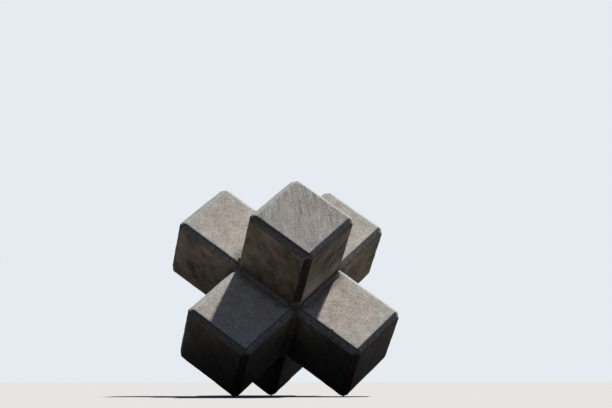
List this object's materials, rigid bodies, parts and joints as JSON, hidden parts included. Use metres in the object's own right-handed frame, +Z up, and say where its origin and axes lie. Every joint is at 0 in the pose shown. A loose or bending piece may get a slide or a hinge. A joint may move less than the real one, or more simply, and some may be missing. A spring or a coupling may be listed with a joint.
{
  "type": "six-legged concrete armour unit",
  "caption": "Cast concrete wave breaker block: square beams crossing at right angles, with chamfered edges, that stands on its leg tips and locks between its neighbours.",
  "frame": {"origin": "on the ground under the middle of the block, halfway between its standing tips", "axes": "+Z up; one upper leg points to the front, -Y; +X is to the right as seen from the front"},
  "size_m": [2.4748, 2.8578, 2.5057],
  "materials": {
    "concrete": "rough, weathered, with small pores and rain streaks"
  },
  "bodies": {
    "root": {"cast_block": "concrete"}
  },
  "joints": []
}
